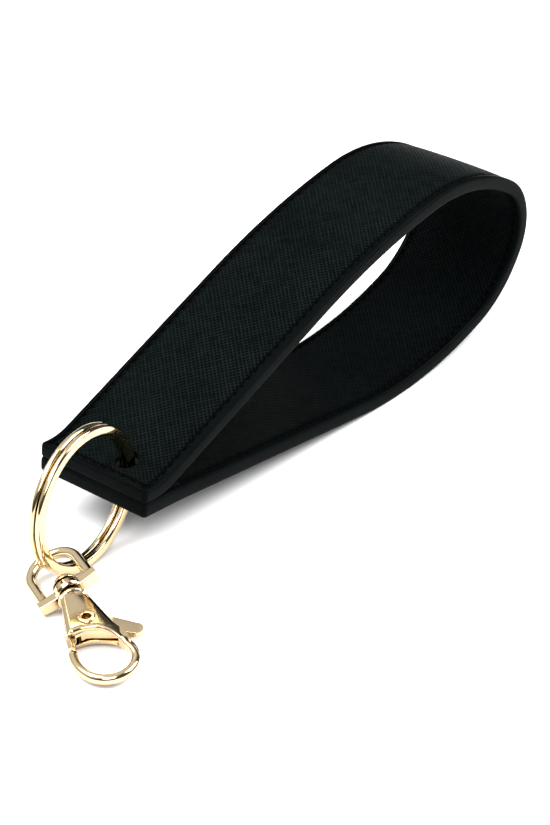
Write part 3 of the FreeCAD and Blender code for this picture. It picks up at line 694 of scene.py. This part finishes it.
def end_row():
    """The row across the near end that closes the loop, above and below."""
    reach = STRAP_WIDTH / 2 - SEAM_INSET - ROW_GAP
    count = int(2 * reach / STITCH_PITCH)
    places = []
    for s in (END_SEAM, LINE.length - END_SEAM):
        for k in range(count):
            y = -reach + 2 * reach * (k + 0.5) / count
            n = face_height(s, y, True) + STITCH_PROUD
            here = on_band(s, y, n)
            out = (on_band(s, y, n + 1) - here).normalized()
            places.append((here, Vector((0, 1, 0)), out))
    return stitch_piece("end_stitches", places, "end_thread")


def build_strap():
    leather_skin("outer_skin", True, LEATHER, "outer_leather")
    leather_skin("lining_skin", False, SHADED_LINING, "lining_leather")
    level = (BAND_THICK + LEG_GAP) / 2
    end_coat("upper_end_coat", level, "upper_end_paint")
    end_coat("lower_end_coat", -level, "lower_end_paint")
    for word, side in (("left", 1), ("right", -1)):
        edge_coat(word + "_edge_coat", side, word + "_edge_paint")
        edge_row(word + "_top_stitches", side, 1, word + "_top_thread")
        edge_row(word + "_lining_stitches", side, -1, word + "_bobbin_thread")
    end_row()
    board = frame["nodes"]["stiffener"]
    board.data.materials.clear()
    board.data.materials.append(BOARD)


# ---------------------------------------------------------------- split ring

def ring_frame():
    """The ring's centre, with Z along its axis and X level."""
    z = Vector(JOINTS["ring_turn"]["axis"]).normalized()
    x = Vector((0, 0, 1)).cross(z).normalized()
    place = Matrix((x, z.cross(x), z)).transposed().to_4x4()
    place.translation = Vector(JOINTS["ring_turn"]["pos_m"])
    return place


def rounded_section(width, height, radius, steps=5):
    """A rectangle with rounded corners, round its own middle."""
    section = []
    for cx, cy, start in ((1, 1, 0), (-1, 1, 90), (-1, -1, 180), (1, -1, 270)):
        for k in range(steps + 1):
            a = math.radians(start + 90 * k / steps)
            section.append((cx * (width / 2 - radius) + radius * math.cos(a),
                            cy * (height / 2 - radius) + radius * math.sin(a)))
    return section


def build_ring():
    """Two flat coils side by side, joined where the wire crosses over from one to the other."""
    place = ring_frame()
    low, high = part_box("split_ring")
    outer = (high.z - low.z) / 2 / MM
    middle = outer - RING_RADIAL / 2
    step = (COIL_THICK + COIL_GAP) / 2
    section = rounded_section(RING_RADIAL, COIL_THICK, COIL_ROUND)
    coil = 360 - JOG_SWEEP
    first = JOG_START + JOG_SWEEP
    stations = [(first + coil * k / COIL_STEPS, step) for k in range(COIL_STEPS + 1)]
    for k in range(1, JOG_STEPS):
        share = k / JOG_STEPS
        stations.append((JOG_START + 360 + JOG_SWEEP * share, step * math.cos(math.pi * share)))
    stations += [(first + 360 + coil * k / COIL_STEPS, -step) for k in range(COIL_STEPS + 1)]
    points = []
    for degrees, height in stations:
        a = math.radians(degrees)
        for out, up in section:
            radius = middle + out
            points.append(place @ (Vector((radius * math.cos(a), radius * math.sin(a), height + up)) * MM))
    mesh = outward(make_mesh("ring_coils", points, ring_faces(len(stations), len(section))))
    piece = add_object("ring_coils", mesh, RING_GOLD)
    soften(piece, 50)
    finish_piece(piece, "ring", "ring_metal", "split_ring")


# ---------------------------------------------------------------- cast and turned metal

def cast(name, node, body, voxel, passes, extras=(), shape=None):
    """A smooth casting made from a CAD node's own mesh, with details fused on and its edges softened."""
    fused = bmesh.new()
    fused.from_mesh(frame["nodes"][node].data)
    for extra in extras:
        fused.from_mesh(extra)
    mesh = bpy.data.meshes.new(name)
    fused.to_mesh(mesh)
    fused.free()
    piece = add_object(name, mesh, GOLD)
    grid = piece.modifiers.new("grid", "REMESH")
    grid.mode = "VOXEL"
    grid.voxel_size = voxel * MM
    applied(piece)
    if shape is not None:
        shape(piece.data)
    relax = piece.modifiers.new("relax", "SMOOTH")
    relax.factor = 0.5
    relax.iterations = passes
    applied(piece)
    piece.data.shade_smooth()
    piece.data.materials.clear()
    piece.data.materials.append(GOLD)
    return finish_piece(piece, body, "gold_metal", node)


def tube(path, radii, count=16):
    """A round bar along points in the hook's frame, in millimetres, with a radius at each."""
    points = []
    for k, (point, radius) in enumerate(zip(path, radii)):
        ahead = path[min(k + 1, len(path) - 1)] - path[max(k - 1, 0)]
        side = ahead.cross(Vector((0, 0, 1))).normalized()
        up = side.cross(ahead).normalized()
        for j in range(count):
            a = 2 * math.pi * j / count
            points.append(HOOK @ ((point + (side * math.cos(a) + up * math.sin(a)) * radius) * MM))
    return outward(make_mesh("bar", points, ring_faces(len(path), count)))


def circle_through(a, b, c):
    """Centre of the circle through three points of a plane."""
    d = 2 * (a.x * (b.y - c.y) + b.x * (c.y - a.y) + c.x * (a.y - b.y))
    sa, sb, sc = a.x ** 2 + a.y ** 2, b.x ** 2 + b.y ** 2, c.x ** 2 + c.y ** 2
    x = (sa * (b.y - c.y) + sb * (c.y - a.y) + sc * (a.y - b.y)) / d
    y = (sa * (c.x - b.x) + sb * (a.x - c.x) + sc * (b.x - a.x)) / d
    return Vector((x, y, 0))


def front_height(x):
    """The cheeks' front face: level, then thinning towards the loop's wire."""
    start = RIM_X + TAPER_INSET
    end = LOOP_CENTRE[0] - TAPER_INSET
    share = min(max((x - start) / (end - start), 0.0), 1.0)
    return BODY_FRONT + share * (WIRE_FRONT - BODY_FRONT)


def bead_arch():
    """The bead's path along the arch: an arc through its left end, its top and the loop's right side."""
    a = Vector((RIM_X + 0.25, -3.95, 0))
    b = Vector((RIM_X + 0.15, 0.3, 0))
    c = Vector((LOOP_CENTRE[0] - 1.6, LOOP_CENTRE[1] + 4.3, 0))
    centre = circle_through(a, b, c)
    radius = (a - centre).length
    start = math.atan2(a.y - centre.y, a.x - centre.x)
    sweep = math.atan2(c.y - centre.y, c.x - centre.x) - start
    sweep = (sweep + math.pi) % (2 * math.pi) - math.pi
    steps = 40
    path = []
    radii = []
    for k in range(steps + 1):
        share = k / steps
        angle = start + sweep * share
        point = centre + Vector((math.cos(angle), math.sin(angle), 0)) * radius
        point.z = front_height(point.x) - BEAD_SINK
        path.append(point)
        radii.append(BEAD_RADIUS * min(1.0, math.sqrt(share * 18 + 0.1)))
    return path, radii


def rim_bead():
    """The raised bead along the arch, from its round left end on into the loop's wire."""
    path, radii = bead_arch()
    first = path[-1].copy()
    hub = Vector((*LOOP_CENTRE, 0))
    begin = math.atan2(first.y - hub.y, first.x - hub.x)
    reach = (first.xy - hub.xy).length
    steps = 24
    for k in range(1, steps + 1):
        share = k / steps
        angle = begin - math.radians(BEAD_LOOP_SWEEP) * share
        out = reach + (LOOP_RADIUS - reach) * min(share * 2.5, 1.0)
        lift = first.z * (1 - share) ** 1.5
        path.append(hub + Vector((math.cos(angle) * out, math.sin(angle) * out, lift)))
        radii.append(BEAD_RADIUS + 0.2 * share)
    return tube(path, radii)


def shape_hook(mesh):
    """Rounds the front and back faces off towards the right side, and breaks their left corner."""
    inverse = HOOK.inverted()
    for vertex in mesh.vertices:
        p = inverse @ vertex.co / MM
        if not NECK_START < p.x < LOOP_CENTRE[0] - 3 or abs(p.z) < CHEEK_BACK:
            continue
        down = p.x - NECK_START
        level_until = ROUND_LINE_SLOPE * down + ROUND_LINE
        left = NECK_LEFT + SIDE_SLOPE * down
        right_drop = ROUND_FALL * max(p.y - level_until, 0.0) ** 2
        drop = right_drop + LEFT_BEVEL_FALL * max(left + LEFT_BEVEL - p.y, 0.0)
        p.z -= math.copysign(min(drop * min(down, 1.0), abs(p.z) - CHEEK_LEAST), p.z)
        vertex.co = HOOK @ (p * MM)


def shape_tab(mesh):
    """Slopes the thumb tab's front face down towards its round end."""
    inverse = HOOK.inverted()
    for vertex in mesh.vertices:
        p = inverse @ vertex.co / MM
        arm = p - PIN
        if arm.y > 0 and p.z > TAB_LEAST:
            p.z -= min(TAB_SLOPE * max(arm.xy.length - TAB_SLOPE_START, 0.0), p.z - TAB_LEAST)
            vertex.co = HOOK @ (p * MM)


def round_pin(reach, degrees, level):
    """A point at a distance and an angle from the gate's pin, in the hook's frame."""
    a = math.radians(degrees)
    return PIN.xy.to_3d() + Vector((reach * math.cos(a), reach * math.sin(a), level))


def lever_details():
    """The raised line along the gate and the grip lines along the thumb tab."""
    line = [round_pin(reach, degrees, LEVER_FRONT) for reach, degrees in GATE_LINE]
    bars = [tube(line, [GATE_LINE_RADIUS] * len(line))]
    for level in GRIP_LEVELS:
        path = []
        for reach in GRIP_REACHES:
            side = TAB_SPREAD * (0.75 + 0.25 * reach / TAB_SHOULDER)
            path.append(round_pin(reach, TAB_ANGLE - side - GRIP_LEAN * (TAB_SHOULDER - reach), level))
        bars.append(tube(path, [GRIP_RADIUS] * len(path)))
    return bars


def build_metal():
    cast("hook_casting", "hook_body", "hook", 0.09, 9, [rim_bead()], shape_hook)
    cast("gate_lever", "lever", "gate", 0.08, 7, lever_details(), shape_tab)
    cast("eye_casting", "swivel_eye", "eye", 0.09, 14)
    cast("swivel_rivet", "swivel_post", "hook", 0.08, 5)
    cast("hinge_rivet", "pivot_pin", "hook", 0.06, 4)
    spring = frame["nodes"]["lever_spring"]
    spring.data.materials.clear()
    spring.data.materials.append(STEEL)


# ---------------------------------------------------------------- stage

FLOOR_HALF = 3.0
FLOOR_LEVEL = -0.0001


def build_floor():
    shader = Shader("studio_floor")
    shader.set(Base_Color=(0.93, 0.93, 0.935, 1.0), Roughness=0.6, Specular_IOR_Level=0.2)
    corners = ((-1, -1), (1, -1), (1, 1), (-1, 1))
    points = [Vector((x * FLOOR_HALF, y * FLOOR_HALF, FLOOR_LEVEL)) for x, y in corners]
    mesh = make_mesh("studio_floor", points, [(0, 1, 2, 3)])
    add_object("studio_floor", mesh, shader.material, smooth=False)


def area_light(name, place, target, size, power):
    light = bpy.data.lights.new(name, "AREA")
    light.shape = "SQUARE"
    light.size = size
    light.energy = power
    lamp = bpy.data.objects.new(name, light)
    bpy.context.scene.collection.objects.link(lamp)
    lamp.location = place
    lamp.rotation_euler = (Vector(target) - Vector(place)).to_track_quat("-Z", "Y").to_euler()


# the middle of the softbox, and how bright the studio is towards it: from square to it, 0, to right at it, 1
SKY_AIM = (-0.2516, 0.4528, 0.8554)
SKY = ((0.0, 0.12), (0.2, 0.05), (0.5, 0.09), (0.66, 0.72), (0.82, 0.9), (1.0, 1.05))


def build_light():
    """A bright softbox overhead and a dark room round it, so that polished metal has something to mirror."""
    world = bpy.data.worlds.new("studio")
    bpy.context.scene.world = world
    world.use_nodes = True
    tree = world.node_tree
    background = tree.nodes["Background"]
    coordinates = tree.nodes.new("ShaderNodeTexCoord")
    aim = tree.nodes.new("ShaderNodeVectorMath")
    ramp = tree.nodes.new("ShaderNodeValToRGB")
    aim.operation = "DOT_PRODUCT"
    aim.inputs[1].default_value = SKY_AIM
    tree.links.new(coordinates.outputs["Generated"], aim.inputs[0])
    tree.links.new(aim.outputs["Value"], ramp.inputs["Fac"])
    tree.links.new(ramp.outputs["Color"], background.inputs["Color"])
    elements = ramp.color_ramp.elements
    while len(elements) < len(SKY):
        elements.new(0.5)
    for element, (height, level) in zip(elements, SKY):
        element.position = height
        element.color = (level, level, level, 1.0)
    background.inputs["Strength"].default_value = 1.0
    area_light("key", place=(-0.35, 0.30, 0.75), target=(-0.02, 0, 0.01), size=0.5, power=8.0)
    area_light("fill", place=(0.45, -0.50, 0.70), target=(0, 0, 0.01), size=0.6, power=14.0)
    area_light("near", place=(-0.55, -0.45, 0.62), target=(-0.03, 0, 0.01), size=0.5, power=5.0)


def build_camera():
    """Looks down at the object from its near right, as a long lens sees it."""
    target = Vector((-0.023, -0.0159, 0.029))
    azimuth = math.radians(-50.57)
    elevation = math.radians(31.70)
    distance = 0.505
    level = Vector((-math.sin(azimuth), math.cos(azimuth), 0))
    forward = level * math.cos(elevation) - Vector((0, 0, 1)) * math.sin(elevation)
    data = bpy.data.cameras.new("camera")
    data.lens = 114.76
    data.sensor_width = 36.0
    data.clip_start = 0.01
    camera = bpy.data.objects.new("camera", data)
    bpy.context.scene.collection.objects.link(camera)
    camera.location = target - forward * distance
    camera.rotation_euler = forward.to_track_quat("-Z", "Y").to_euler()
    bpy.context.scene.camera = camera


build_camera()
build_strap()
build_ring()
build_metal()
build_floor()
build_light()
bpy.context.scene.view_settings.view_transform = "Standard"
